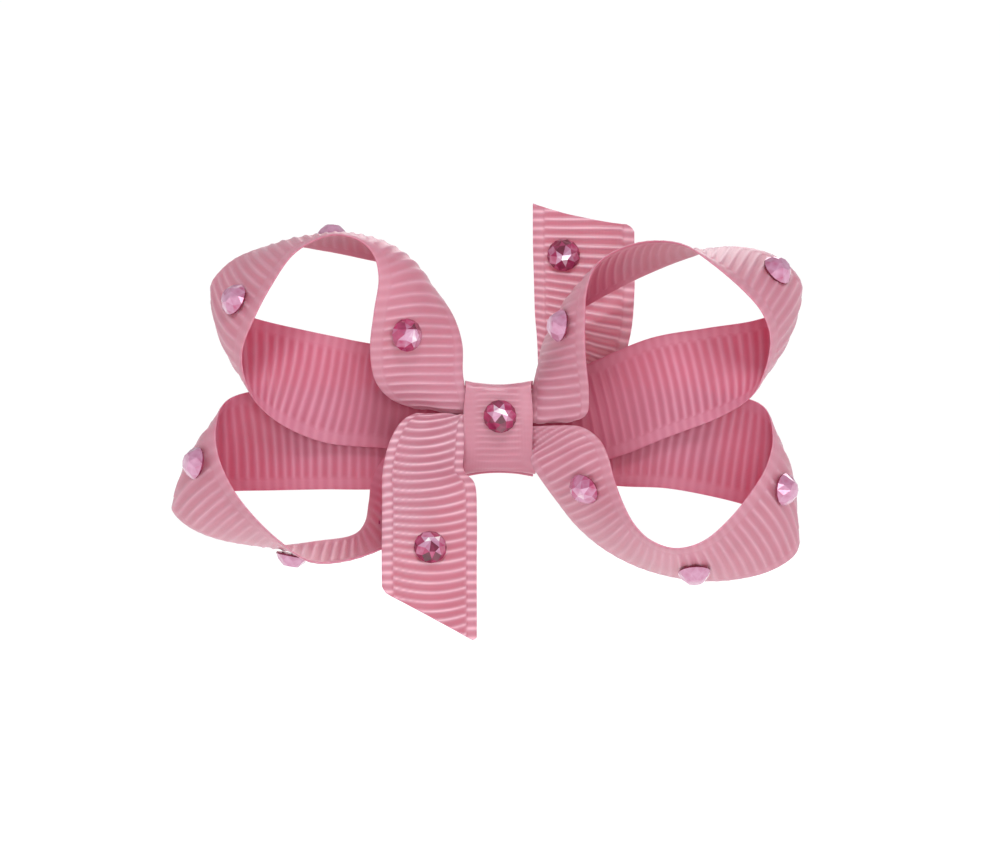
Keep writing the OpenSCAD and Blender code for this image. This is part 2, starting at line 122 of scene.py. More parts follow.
# Ribbon routes, the same as the CAD source's. Each row is a point on the selvage nearer the front,
# the point straight across on the farther selvage, and how far the middle bulges outwards.
UPPER_LEFT_ROUTE = [
    ((-2.8, -3.4, -3.4), (-2.8, -3.4, 3.6), 0),
    ((-6, -3.5, -2.8), (-5.5, -3.4, 5.4), 0),
    ((-11.3, -3.5, -2.1), (-10.2, -3.4, 7.7), 0),
    ((-17.2, -3.6, -1.6), (-15.2, -3.2, 8.8), 0),
    ((-21.4, -4.8, 0), (-19.5, -2.9, 9.7), 0.2),
    ((-24.2, -6, 2.2), (-24.2, -1.6, 10.8), 0.8),
    ((-25.5, -7.4, 4.8), (-27.7, -0.9, 12), 1.05),
    ((-25.7, -8.5, 7.6), (-29, -0.8, 13.8), 0.9),
    ((-24.7, -9.2, 10.4), (-28.4, -0.6, 15.4), 0.6),
    ((-23, -9.8, 13.8), (-26.2, -0.6, 17.2), 0.6),
    ((-20.6, -10.3, 17.2), (-22.2, -0.4, 18.3), 0.7),
    ((-17.4, -10.8, 19), (-17.8, -0.8, 17.8), 0.8),
    ((-14.8, -11.2, 18.9), (-14, -1.5, 17), 1.1),
    ((-12.8, -11.3, 17.4), (-10.4, -2.6, 16), 1.55),
    ((-12.1, -11, 14.8), (-7.1, -4, 14.1), 1.8),
    ((-12.6, -10.4, 11.4), (-5, -5, 11.6), 1.3),
    ((-13, -9.4, 8), (-3.9, -5.9, 8.5), 0.9),
    ((-12.6, -8.2, 4.9), (-3.8, -6.2, 5.4), 0.6),
    ((-11.2, -6.9, 3), (-3.4, -6, 3.2), 0.4),
    ((-9, -5.4, 2.1), (-3.3, -5.6, 1.6), 0.1),
    ((-6.4, -4.5, 1.9), (-3.2, -4.9, 1.7), 0),
    ((-2.9, -4.2, 0.4), (-2.7, -4.2, 3.4), 0),
]
LOWER_LEFT_ROUTE = [
    ((-2.8, -2.8, 3.6), (-2.8, -2.8, -3.6), 0),
    ((-6, -2.8, 3.9), (-5.6, -2.8, -4.9), 0),
    ((-11.3, -2.8, 4), (-11, -2.7, -6.1), 0),
    ((-18, -2.9, 4), (-18, -2.5, -6.2), 0),
    ((-23.7, -3.3, 3.8), (-23, -1.8, -6.3), 0.2),
    ((-27.3, -5.3, 2.7), (-27.2, -1.3, -6.4), 1),
    ((-28.4, -7.2, 0), (-31.1, -0.9, -6.9), 1.5),
    ((-28.1, -8.4, -3), (-33, -0.9, -8.1), 0.9),
    ((-26.6, -9.2, -6.2), (-31.2, -0.8, -10), 0.6),
    ((-24.2, -9.9, -9.2), (-27.6, -0.6, -11.3), 0.4),
    ((-21.6, -10.4, -11.6), (-22.8, -0.4, -11.9), 0.3),
    ((-18.8, -10.8, -13.3), (-18.2, -0.8, -11.4), 0.3),
    ((-15.2, -10.9, -13.2), (-14.9, -1, -10.9), 0.3),
    ((-11.6, -10.5, -12), (-13.6, -1.6, -9.6), 0.3),
    ((-8.4, -9.4, -10.4), (-13.2, -2.9, -7.4), 0.3),
    ((-6.2, -8, -7.9), (-12.8, -3.9, -5), 0.2),
    ((-4.6, -6.7, -5.2), (-11, -4.3, -2.4), 0.1),
    ((-3.9, -5.6, -3.7), (-7, -4.8, -0.4), 0),
    ((-2.8, -5, -3.6), (-2.8, -4.9, -0.4), 0),
]
UPPER_RIGHT_ROUTE = [
    ((2.8, -3.5, -3.4), (2.8, -3.5, 3.6), 0),
    ((5.8, -3.6, -3.6), (5.2, -3.5, 4.8), 0),
    ((11, -3.7, -3.1), (8.8, -3.4, 6.4), 0),
    ((17.1, -3.8, -0.8), (14.8, -3.2, 8.9), 0),
    ((21.8, -4.6, 1), (20.4, -2.6, 9.9), 0.2),
    ((24.9, -6.1, 3), (25.4, -1.6, 10.7), 0.6),
    ((26.3, -7.6, 5.6), (28.7, -0.9, 12), 1),
    ((26.8, -8.7, 8.6), (30.1, -0.8, 13.9), 0.8),
    ((26, -9.4, 11.2), (29.2, -0.8, 15.8), 0.6),
    ((24, -10, 13.6), (26.7, -0.9, 17.5), 0.4),
    ((21, -10.7, 16.2), (22.6, -1, 18.1), 0.3),
    ((18, -11.2, 18.1), (18.4, -1.4, 16.9), 0.2),
    ((14.8, -11.8, 18.5), (14.6, -2.2, 15.4), 0.3),
    ((12, -12.2, 17.8), (11.6, -2.9, 13.9), 0.4),
    ((9.6, -12.3, 16.2), (8.6, -3.3, 12.2), 0.6),
    ((8.5, -12.1, 13.8), (5.9, -3, 10.8), 0.8),
    ((8.3, -11.3, 10.6), (4.4, -2.9, 8.8), 0.9),
    ((8.4, -10, 7), (3.7, -3.7, 6.2), 0.7),
    ((8.7, -8.6, 3.7), (3.1, -5, 3.6), 0.5),
    ((8.5, -7.4, 1.3), (3, -5.9, 1.1), 0.3),
    ((6.6, -6, 0.7), (2.9, -5.3, 0.8), 0),
    ((2.9, -4.6, 0.4), (2.8, -4.3, 3.2), 0),
]
LOWER_RIGHT_ROUTE = [
    ((2.8, -2.9, 3.4), (2.8, -2.9, -3.6), 0),
    ((6, -2.9, 3.9), (5.6, -2.9, -4.6), 0),
    ((12.4, -2.9, 4.2), (11.2, -2.7, -5.8), 0),
    ((18.6, -3, 3.9), (16.7, -2.5, -6.1), 0),
    ((23.4, -4, 3.2), (22, -2, -7.1), 0.2),
    ((26.3, -5.7, 2), (25.8, -1.4, -8.2), 0.9),
    ((27.1, -7, -0.8), (28.4, -1.2, -9.5), 1.35),
    ((26.5, -8.1, -3.6), (29.8, -1.4, -11.2), 0.8),
    ((25, -8.8, -6.2), (29.2, -1.6, -13), 0.6),
    ((22.8, -9.5, -9), (26.4, -1.4, -14.6), 0.5),
    ((20.2, -10.2, -11.2), (22.4, -1.1, -15.3), 0.4),
    ((17.4, -10.6, -12), (18.2, -0.9, -15.1), 0.4),
    ((15, -10.7, -11.3), (14.2, -0.9, -14.1), 0.4),
    ((13.3, -10.7, -9.7), (10.6, -1.3, -12.3), 0.4),
    ((12.1, -10.4, -7.6), (7.6, -2.2, -9.9), 0.5),
    ((11.2, -9.8, -5.2), (5.4, -3.6, -7.2), 0.6),
    ((10.6, -8.8, -2.8), (3.7, -5.6, -4.8), 0.6),
    ((9.7, -7.7, -1.1), (3, -5.8, -3.7), 0.5),
    ((7.9, -6.9, 0.1), (2.9, -5.9, -3.2), 0.4),
    ((5.2, -6.3, 0.2), (2.8, -5.8, -3), 0.2),
    ((2.9, -5.7, 0.1), (2.8, -5.6, -3.2), 0),
]
LOWER_TAIL_ROUTE = [
    ((-2.9, -5.8, -2.6), (-2.9, -5.6, 0.6), 0),
    ((-4.8, -5.8, -0.6), (-3.1, -5.7, 0.9), 0),
    ((-7, -6.1, 1), (-3.2, -6, 1.2), 0),
    ((-8.6, -6.8, 1.3), (-3.4, -6.1, 1.1), 0),
    ((-9.9, -7.6, 0.6), (-3.6, -6.2, 0.4), 0.1),
    ((-10.9, -8.3, -1), (-3.7, -6.4, -0.9), 0.3),
    ((-11.5, -8.9, -2.9), (-3.72, -6.7, -2.5), 0.4),
    ((-11.8, -9.5, -4.9), (-3.72, -7.1, -4.3), 0.4),
    ((-11.8, -10.1, -7), (-2.6, -7.9, -5.7), 0.3),
    ((-11.8, -10.8, -9.6), (-2.4, -9.1, -8.8), 0.3),
    ((-11.8, -12, -14), (-2.4, -10.4, -14), 0.3),
    ((-11.7, -12.8, -18.5), (-2.4, -10.9, -18.5), 0.3),
    ((-11.6, -13.2, -22.5), (-2.4, -11.2, -22.5), 0.3),
]
UPPER_TAIL_ROUTE = [
    ((2.8, -2.3, 3), (2.8, -2.3, -0.8), 0),
    ((3.7, -2.3, 4), (5.8, -2.3, 0.4), 0),
    ((3.7, -2.1, 6.4), (9.4, -2.2, 2.8), 0),
    ((3.6, -1.7, 9), (11.8, -1.9, 5.8), 0),
    ((3.4, -1.2, 11.4), (13, -1.4, 9.4), 0.1),
    ((3.3, -0.5, 14.8), (13.4, -0.6, 13.8), 0.2),
    ((3.2, 0.2, 18.6), (13.4, 0.2, 18.2), 0.3),
    ((3.2, 1, 23.5), (13.4, 1.1, 23.3), 0.3),
]

# Crystals as (place along the route, how far towards the near selvage)
CRYSTALS = {
    "upper_left": ((8.1, 0.3), (11.2, -0.45), (15.7, 0.3)),
    "lower_left": ((6.8, 0.5), (10.4, 0), (14, -0.2)),
    "upper_right": ((8.5, -0.3), (12.6, -0.2), (16, 0.3)),
    "lower_right": ((7.1, 0.4), (10.6, -0.1), (15.1, 0.2)),
}
TAIL_CRYSTALS = {"lower": (9.6, 0), "upper": (5.7, 0.4)}


# ---------------------------------------------------------------- meshes

# Points nearer than this, in metres, are one point
MERGE_DISTANCE = 1e-7


def make_mesh(name, points, faces, body, layers=None, uv=None):
    """Object from points in metres and faces, with outward normals, riding on a CAD body.
    layers are named values, one a point; uv is one pair a point."""
    mesh = bpy.data.meshes.new(name)
    mesh.from_pydata([tuple(p) for p in points], [], faces)
    for key, values in (layers or {}).items():
        attribute = mesh.attributes.new(key, "FLOAT", "POINT")
        attribute.data.foreach_set("value", np.asarray(values, np.float32).ravel())
    if uv is not None:
        corners = np.zeros(len(mesh.loops), np.int32)
        mesh.loops.foreach_get("vertex_index", corners)
        layer = mesh.uv_layers.new(name="UVMap")
        layer.data.foreach_set("uv", np.asarray(uv, np.float32)[corners].ravel())
    work = bmesh.new()
    work.from_mesh(mesh)
    bmesh.ops.remove_doubles(work, verts=work.verts, dist=MERGE_DISTANCE)
    bmesh.ops.dissolve_degenerate(work, edges=work.edges, dist=MERGE_DISTANCE)
    bmesh.ops.recalc_face_normals(work, faces=work.faces)
    work.to_mesh(mesh)
    work.free()
    obj = bpy.data.objects.new(name, mesh)
    bpy.context.scene.collection.objects.link(obj)
    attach(obj, body)
    return obj


def smooth(obj, angle=None):
    """Smooth shading, with edges sharper than angle degrees kept sharp."""
    obj.data.shade_smooth()
    if angle is not None:
        obj.data.set_sharp_from_angle(angle=math.radians(angle))
    return obj


def loft_faces(rows, size, closed=False):
    """Quads between rings of points, with each open end closed by a ladder of quads."""
    faces = []
    for k in range(rows if closed else rows - 1):
        a, b = k * size, (k + 1) % rows * size
        for j in range(size):
            n = (j + 1) % size
            faces.append((a + j, a + n, b + n, b + j))
    if not closed:
        for start in (0, (rows - 1) * size):
            for i in range(size // 2 - 1):
                j = size - 1 - i
                faces.append((start + i, start + i + 1, start + j - 1, start + j))
    return faces


def loft(name, rings, body, closed=False, layers=None, uv=None):
    """Closed mesh through rings of points, shaped (rings, points, 3), in metres."""
    rows, size = rings.shape[:2]
    return make_mesh(name, rings.reshape(-1, 3), loft_faces(rows, size, closed), body,
                     layers, None if uv is None else uv.reshape(-1, 2))


def tube(name, path, radius, body, sides=12, lobes=0.0):
    """Round wire along points in metres. lobes above 0 twists it like plied thread."""
    path = np.asarray(path, float)
    ahead = np.gradient(path, axis=0)
    ahead /= np.linalg.norm(ahead, axis=1)[:, None]
    first = np.cross(ahead[0], (0.3, 0.2, 0.9))
    across = [first / np.linalg.norm(first)]
    for t in ahead[1:]:
        a = across[-1] - t * (across[-1] @ t)
        across.append(a / np.linalg.norm(a))
    across = np.array(across)
    up = np.cross(ahead, across)
    steps = np.linalg.norm(np.diff(path, axis=0), axis=1)
    run = np.concatenate([[0], np.cumsum(steps)])[:, None]
    angle = np.linspace(0, 2 * math.pi, sides, endpoint=False)[None, :]
    r = radius * (1 + lobes * np.cos(2 * angle - run / radius * 1.2))
    rings = (path[:, None] + (r * np.cos(angle))[..., None] * across[:, None]
             + (r * np.sin(angle))[..., None] * up[:, None])
    return smooth(loft(name, rings, body))


def spline(rows, s):
    """Smooth curve through rows at places s, the same blend as the CAD source's."""
    last = len(rows) - 1
    i = np.clip(np.floor(s).astype(int), 0, last - 1)
    t = s - i
    if rows.ndim > 1:
        t = t[..., None]
    a, b, c, d = (rows[np.clip(i + k, 0, last)] for k in (-1, 0, 1, 2))
    return 0.5 * (2 * b + (c - a) * t + (2 * a - 5 * b + 4 * c - d) * t ** 2
                  + (3 * b - a - 3 * c + d) * t ** 3)


def uneven(u, v, seed):
    """Slow unevenness of hand-made work, from -1 to 1, the same each run."""
    return (np.sin(0.83 * u + 1.9 * seed) + np.sin(0.37 * u + 1.7 * v + 2.3 * seed)
            + np.sin(2.1 * v - 0.22 * u + 0.7 * seed)) / 3


class Route:
    """A ribbon's middle surface, in millimetres. Places s along it count the route's rows."""

    def __init__(self, rows, face):
        """face is 1 or -1, for the side of the route that faces out of its loop."""
        self.near = np.array([r[0] for r in rows], float)
        self.far = np.array([r[1] for r in rows], float)
        self.crown = np.array([r[2] for r in rows], float)
        self.face = face
        self.last = len(rows) - 1
        self.places = np.linspace(0, self.last, 3001)
        steps = np.linalg.norm(np.diff(self.middle(self.places), axis=0), axis=1)
        self.run = np.concatenate([[0], np.cumsum(steps)])
        self.length = self.run[-1]

    def middle(self, s):
        """Points midway between the selvages."""
        return (spline(self.near, s) + spline(self.far, s)) / 2

    def half(self, s):
        """Steps from the middle to the near selvage."""
        return (spline(self.near, s) - spline(self.far, s)) / 2

    def outward(self, s):
        """Unit directions out of the loop, square to the ribbon."""
        ahead = (self.middle(np.minimum(s + 0.02, self.last))
                 - self.middle(np.maximum(s - 0.02, 0)))
        out = self.face * np.cross(ahead, self.half(s))
        return out / np.linalg.norm(out, axis=-1, keepdims=True)

    def place(self, u):
        """Places u mm along the ribbon."""
        return np.interp(u, self.run, self.places)

    def point(self, s, v, lift):
        """Point at place s, v from -1 on the far selvage to 1 on the near one."""
        bulge = lift + spline(self.crown, s) * (1 - v ** 2)
        return self.middle(s) + v[..., None] * self.half(s) + bulge[..., None] * self.outward(s)


# ---------------------------------------------------------------- ribbon

# Tone of an outer face where its painted rib highlights and shade fade out
EVEN_TONE = 0.42

# Distance from the bow's middle, in mm, within which the loops' insides get painted shade,
# and how far in the painted shade reaches its darkest
SHADE_REACH = 17
SHADE_FADE = 8


def across_columns():
    """Places across the ribbon, close together at the selvages, from -1 to 1."""
    edge = np.array([0, 0.06, 0.2, 0.45, 0.75, 0.95, SELVAGE_W, 1.25, 1.5])
    side = edge / (RIBBON_W / 2) - 1
    return np.concatenate([side, np.linspace(side[-1], -side[-1], 11)[1:-1], -side[::-1]])


def rib_height(u, v, width, pitch, seed, bow, beading):
    """Half thickness and a 0-to-1 tone of a ribbed ribbon, the tone painting a highlight on the
    rib tops and selvage beads and painted shade in the valleys and the selvage groove. u, width
    and pitch are in mm, bow is how far the ribs arch along the ribbon, and beading how beaded its
    selvages are."""
    edge = (1 - np.abs(v)) * width / 2
    field = np.clip((edge - SELVAGE_W) / 0.2, 0, 1)
    wander = 0.16 * uneven(u, v, seed)
    phase = (u + bow * (1 - v ** 2) + wander) / pitch
    hump = (0.5 - 0.5 * np.cos(2 * math.pi * phase)) ** 2.5
    bead = (0.5 - 0.5 * np.cos(2 * math.pi * ((u + wander) / pitch + 0.15))) ** 1.5
    hump = hump * (0.9 + 0.1 * uneven(3 * u, 2 * v, seed + 5))
    rib = RIB_VALLEY + (RIB_TOP - RIB_VALLEY) * hump
    groove = np.exp(-((edge - SELVAGE_W) / 0.1) ** 2)
    selvage = SELVAGE_TOP + 0.06 * beading * bead - 0.03 * groove
    rounding = np.sqrt(np.clip(edge / 0.16, 0.12, 1))
    half = (field * rib + (1 - field) * selvage) * rounding
    # Painted tone: highlight on the rib tops and selvage beads, shade in the valleys and the
    # groove
    plain = 0.35 + 0.2 * beading + beading * (bead - 0.4) - 0.25 * beading * groove
    tone = field * hump + (1 - field) * plain
    return half, np.clip(tone, 0, 1)


def two_sides(tone, crisp=1.0, out=None, reach=None):
    """Mesh layers of a ribbon: each point's painted rib tone, and 1 on its glossy face. The
    ribs' painted highlights fade where the face turns away from the front, and the ribs are soft
    inside the loops, which get painted shade under the crowns and near the middle. crisp is how
    strongly the painted rib tone shows, out each point's outward direction, and reach how far it
    lies to the side of the bow's middle, in mm."""
    face = np.ones_like(tone)
    outer, inner = tone, 0.3 + 0.7 * tone ** 0.5
    if out is not None:
        forward, upward = np.clip(-out[..., 1], 0, 1), np.clip(out[..., 2], 0, 1)
        # Painted highlight: the rib tone is strongest where the outer face looks to the front (-Y)
        outer = EVEN_TONE + (tone - EVEN_TONE) * crisp * (0.3 + 0.7 * forward)
        # Painted shade on the inner face under the crowns, where the outward direction points up,
        # and near the bow's middle
        inner = inner * (1 - 0.7 * upward)
        inner = inner * (1 - 0.9 * np.clip((SHADE_REACH - reach) / SHADE_FADE, 0, 1))
    return {"rib": np.concatenate([outer, inner[:, ::-1]], axis=1),
            "face": np.concatenate([face, 0 * face], axis=1)}


def even_ribs(route, u, s, v, tuck):
    """Distances along the ribbon for its ribs, kept evenly spaced on both selvages in the
    last tuck mm, or the first ones if it is below 0, where the ribbon turns into the wrap."""
    points = route.point(s, v, np.zeros_like(s))
    steps = np.linalg.norm(np.diff(points, axis=0), axis=2)
    run = np.concatenate([np.zeros((1, steps.shape[1])), np.cumsum(steps, axis=0)])
    start = -tuck if tuck < 0 else route.length - tuck
    row = int(np.argmin(np.abs(u[:, u.shape[1] // 2] - start)))
    even = u[row] + run - run[row]
    turned = (u < start) if tuck < 0 else (u > start)
    return np.where(turned, u + 0.75 * (even - u), u)


def ribbon(name, route, seed, bow, tuck, cut=None):
    """Ribbed ribbon along a route: a loop, or a tail that is cut at the height cut(v)."""
    v = across_columns()
    rows = int(route.length / RIB_PITCH * RIB_ROWS)
    u = np.linspace(0, route.length, rows)[:, None] * np.ones_like(v)[None, :]
    if cut is not None:
        u = np.minimum(u, cut_runs(route, v, cut)[None, :])
        u = u[:int(u.max() / route.length * rows) + 3]
    v = np.ones((len(u), 1)) * v[None, :]
    s = route.place(u)
    ribs = even_ribs(route, u, s, v, tuck) if tuck else u
    beading, crisp = (0.5, 0.6) if cut is None else (0.7, 0.95)
    half, tone = rib_height(ribs, v, RIBBON_W, RIB_PITCH, seed, bow, beading)
    width = 2 * np.linalg.norm(route.half(s), axis=-1)
    pinch = np.clip(1 - width / RIBBON_W, 0, 1)
    pleat = 0.25 * pinch * np.cos(5 * v + seed) * (1 - v ** 2)
    ripple = 0.07 * uneven(0.8 * u, 1.5 * v, seed + 3)
    middle = pleat + ripple
    outer = route.point(s, v, middle + half)
    inner = route.point(s, v, middle - INNER_DEPTH - INNER_RELIEF * (half - INNER_DEPTH))
    rings = np.concatenate([outer, inner[:, ::-1]], axis=1) * MM
    uv = np.stack([u, v * RIBBON_W / 2], axis=-1) / MM_PER_UV
    # A tail's inner face gets no painted shade near the middle
    reach = np.abs(outer[..., 0]) if cut is None else SHADE_REACH
    layers = two_sides(tone, crisp, route.outward(s), reach)
    obj = loft(name, rings, "bow", layers=layers, uv=np.concatenate([uv, uv[:, ::-1]], axis=1))
    obj.data.materials.append(MATERIALS["ribbon"])
    smooth(obj, 60)
    return obj


def cut_runs(route, v, cut):
    """How far along the ribbon each column reaches, where its height crosses cut(v)."""
    s = np.linspace(route.last - 4, route.last, 800)
    ends = []
    for column in v:
        z = route.point(s, np.full_like(s, column), np.zeros_like(s))[:, 2]
        beyond = np.nonzero(np.abs(z) > abs(cut(column)))[0]
        ends.append(np.interp(s[beyond[0]], route.places, route.run))
    return np.array(ends)


def lower_cut(v):
    """Straight slanting cut, its corners just rounded. v is 1 on the left edge."""
    corner = 0.5 * max(0, (abs(v) - 0.88) / 0.12) ** 2
    return -(18.75 - 2.55 * v - corner)


def upper_cut(v):
    """Slightly hollow slanting cut with its lower corner rounded off."""
    corner = 0.65 * max(0, (-v - 0.84) / 0.16) ** 2
    return 21.4 + 1.1 * v - 0.34 * (1 - v ** 2) - corner


# ---------------------------------------------------------------- crystals

def crystal_points(rng, turn):
    """Points of a crystal, in mm above its seat: 16 round the base, 16 round the girdle, 8
    round the middle, 8 round the table and one near the top's centre."""
    # Points in each tier, then its shares of the radius and the height, and its turn in steps
    tiers = ((16, 0.97, 0.06, 0), (16, 1.0, 0.18, 0), (8, 0.82, 0.56, 0.5), (8, 0.48, 0.95, 0))
    points = []
    for count, r, h, shift in tiers:
        for k in range(count):
            a = turn + 2 * math.pi * (k + shift) / count
            points.append((CRYSTAL_R * r * math.cos(a), CRYSTAL_R * r * math.sin(a),
                           CRYSTAL_H * h))
    points.append((0.25 * rng.normal(), 0.25 * rng.normal(), CRYSTAL_H))
    return points


def crystal_facets(rng, turn, lit, sparkle):
    """Faces of a crystal and a tone for each, painting its light and reflections, brightest
    towards the angle lit and dark on the girdle. Its facets are nearly even in tone where the
    painted sparkle is low, which is where the stone is seen from its side."""
    # Where each tier starts in the list of points
    base, girdle, mid, table, top = 0, 16, 32, 40, 48
    faces = [tuple(range(base, girdle))]
    tones = [0.3]
    for k in range(16):
        n = (k + 1) % 16
        faces.append((base + k, base + n, girdle + n, girdle + k))
        tones.append(0.1 + 0.15 * rng.random())

    def fire(calm, spread, facing):
        """Tone of one facet: calm without sparkle, facing give or take spread with it."""
        lively = facing + spread * rng.normal()
        return float(np.clip(calm + sparkle * (lively - calm), 0, 1))

    for k in range(8):
        n = (k + 1) % 8
        g = girdle + 2 * k
        far_g = girdle + (2 * k + 2) % 16
        near = math.cos(turn + 2 * math.pi * (k + 0.5) / 8 - lit)
        faces += [(g, g + 1, mid + k), (g + 1, far_g, mid + k)]
        tones += [fire(0.62, 0.08, 0.2), fire(0.62, 0.08, 0.24)]
        faces += [(far_g, mid + n, table + n, mid + k), (mid + k, table + n, table + k)]
        tones += [fire(0.68, 0.12, 0.32 + 0.14 * near), fire(0.7, 0.14, 0.5 + 0.24 * near)]
        faces.append((table + k, table + n, top))
        tones.append(fire(0.72, 0.06, 0.06 if near < -0.7 else 0.68 + 0.2 * near))
    return faces, tones


def crystal(name, seat, up, seed, node):
    """Flat-back crystal of faceted glass on a foil, its facets given painted light and reflections
    one by one.
    """
    rng = np.random.default_rng(seed)
    turn = rng.uniform(0, math.pi / 4)
    lit = rng.uniform(0, 2 * math.pi)
    points = crystal_points(rng, turn)
    # Painted sparkle, strongest where the stone faces the front (-Y)
    faces, tones = crystal_facets(rng, turn, lit, sparkle=max(0, -up[1]) ** 2.5)
    up = Vector(up).normalized()
    side = up.cross(Vector((0.2, 0.1, 1))).normalized()
    ahead = up.cross(side)
    world = [seat + MM * (side * x + ahead * y + up * z) for x, y, z in points]
    mesh = bpy.data.meshes.new(name)
    mesh.from_pydata([tuple(p) for p in world], [], faces)
    layer = mesh.attributes.new("tone", "FLOAT", "FACE")
    layer.data.foreach_set("value", np.array(tones, np.float32))
    work = bmesh.new()
    work.from_mesh(mesh)
    bmesh.ops.recalc_face_normals(work, faces=work.faces)
    work.to_mesh(mesh)
    work.free()
    obj = bpy.data.objects.new(name, mesh)
    bpy.context.scene.collection.objects.link(obj)
    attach(obj, "bow")
    obj.data.materials.append(MATERIALS["crystal"])
    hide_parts(node)


def ribbon_crystal(route, spot, seed, node):
    """Crystal glued on the outer side of a ribbon."""
    s, v = np.array(float(spot[0])), np.array(float(spot[1]))
    seat = Vector(route.point(s, v, np.array(RIB_TOP - CRYSTAL_SINK))) * MM
    crystal(node.replace("crystal", "stone"), seat, route.outward(s), seed, node)


# ---------------------------------------------------------------- wrap and middle

def rounded_loop(y0, y1, z1, radius, corner=8):
    """Corner-rounded rectangle in Y and Z as points, from the middle of its bottom towards -Y."""
    points = [((y0 + y1) / 2, -z1)]
    corners = ((y0 + radius, -z1 + radius, 270), (y0 + radius, z1 - radius, 180),
               (y1 - radius, z1 - radius, 90), (y1 - radius, -z1 + radius, 0))
    for y, z, start in corners:
        for k in range(corner + 1):
            a = math.radians(start - 90 * k / corner)
            points.append((y + radius * math.cos(a), z + radius * math.sin(a)))
    return points + [points[0]]


def resample(points, step):
    """Points at even steps along a line of points, with their distances along it."""
    points = np.asarray(points, float)
    run = np.concatenate([[0], np.cumsum(np.linalg.norm(np.diff(points, axis=0), axis=1))])
    u = np.linspace(0, run[-1], int(run[-1] / step))
    return np.stack([np.interp(u, run, points[:, k]) for k in range(points.shape[1])], 1), u


def narrow_ribbon(name, middle, out, half_width, u, slot, seed, edges=None, light=1.0):
    """Fine-ribbed narrow ribbon. middle, out and half_width are points along it, its normals
    and the steps from its middle to one edge, in mm. edges(v) gives how far the ribbon lifts
    at each row and place v across, and light scales its painted rib tone along it, painting
    shade where it is below 1."""
    v = across_columns()[None, :] * np.ones((len(u), 1))
    grid_u = u[:, None] * np.ones_like(v)
    half, tone = rib_height(grid_u, v, WRAP_W, WRAP_RIB_PITCH, seed, 0, 0.15)
    # Lower ribs on an even ground, softer in tone too
    half = 0.12 + 0.4 * half
    tone = (0.5 + 0.6 * (tone - 0.5)) * light
    lift = np.zeros_like(v) if edges is None else edges(v)
    side = middle[:, None] + v[..., None] * half_width[:, None]
    outer = side + (lift + half)[..., None] * out[:, None]
    inner = side + (lift - half)[..., None] * out[:, None]
    rings = np.concatenate([outer, inner[:, ::-1]], axis=1) * MM
    uv = np.stack([grid_u, v * WRAP_W / 2], axis=-1) / MM_PER_UV
    obj = loft(name, rings, "bow", layers=two_sides(tone),
               uv=np.concatenate([uv, uv[:, ::-1]], axis=1))
    obj.data.materials.append(MATERIALS[slot])
    smooth(obj, 60)
    return obj


def center_wrap():
    """Narrow ribbon wound once round the middle, its ends lapped underneath."""
    low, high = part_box("center_wrap")
    y0, y1, z1 = low.y / MM + WRAP_T / 2, high.y / MM - WRAP_T / 2, high.z / MM - WRAP_T / 2
    path = rounded_loop(y0, y1, z1, 0.7)
    lap = [(path[0][0] - k * 0.4, -z1 - 0.26 * min(1, k / 2)) for k in range(1, 3)]
    path, u = resample(path[:-1] + [((y0 + y1) / 2 + 0.9, -z1)] + lap, WRAP_RIB_PITCH / RIB_ROWS)
    ahead = np.gradient(path, axis=0)
    ahead /= np.linalg.norm(ahead, axis=1)[:, None]
    out = np.stack([np.zeros(len(u)), -ahead[:, 1], ahead[:, 0]], 1)
    # Its front is widest at the bottom and narrowest at the top, shifts to the side with
    # height, and falls back towards both ends
    front = np.clip((-path[:, 0] - 5) / 1.5, 0, 1)
    skew = np.interp(path[:, 1], (-4.6, -2.4, 4.6), (0.12, -0.12, -0.05))
    half_w = np.interp(path[:, 1], (-4.6, -2.4, 1.5, 4.6), (3.66, 3.42, 3.46, 3.2))
    spread = half_w - WRAP_W / 2
    lean = 0.03 * (path[:, 1] - 1.5) ** 2 * front
    middle = np.stack([(low.x + high.x) / 2 / MM + skew * front, path[:, 0] + lean,
                       path[:, 1]], 1)
    half = np.stack([WRAP_W / 2 + spread * front, np.zeros(len(u)), np.zeros(len(u))], 1)
    above = np.abs(out[:, 2])[:, None]

    def edges(v):
        """The edges flare at top and bottom and curl down on the front."""
        flare = above * (-0.1 + 0.4 * v ** 2)
        curl = (1 - above) * (-0.22 * v ** 4) * front[:, None]
        return flare + curl + 0.02 * uneven(u[:, None], 2 * v, 11)

    # Painted shade: the wrap's rib tone darkens towards its bottom
    light = np.interp(path[:, 1], (-4.6, 0.5), (0.3, 1.0))[:, None]
    obj = narrow_ribbon("middle_wrap", middle, out, half, u, "wrap_ribbon", 3, edges, light)
    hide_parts("center_wrap")


